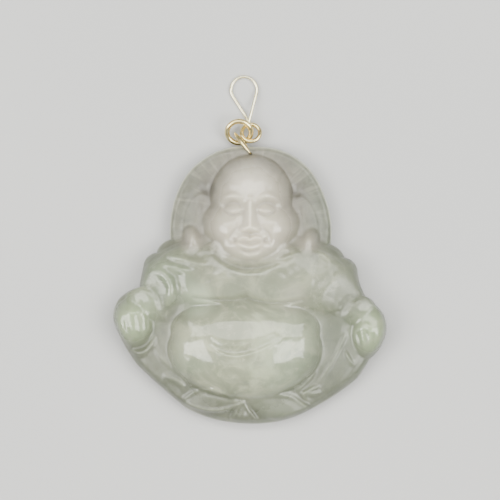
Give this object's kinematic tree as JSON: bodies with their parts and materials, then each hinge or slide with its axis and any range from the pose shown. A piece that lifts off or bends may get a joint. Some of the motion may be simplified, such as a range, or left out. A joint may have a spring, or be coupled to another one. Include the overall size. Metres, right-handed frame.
{
  "type": "jade buddha pendant",
  "caption": "Carved jade pendant: seated monk figure in relief before a round halo plate, with pinch bail, jump rings and wire loop.",
  "frame": {"origin": "middle of the flat back of the carving, on the surface that the pendant lies on", "axes": "+Z out of the carved face, +Y toward the figure's crown and the wire loop, +X to the right seen from the front"},
  "size_m": [0.047, 0.0598, 0.0092],
  "materials": {
    "jade": "polished",
    "gold": "polished",
    "pale_gold": "polished"
  },
  "bodies": {
    "root": {"jade_buddha": "jade", "pinch_bail": "gold", "large_ring": "gold", "small_ring": "gold", "wire_loop": "pale_gold"}
  },
  "joints": []
}
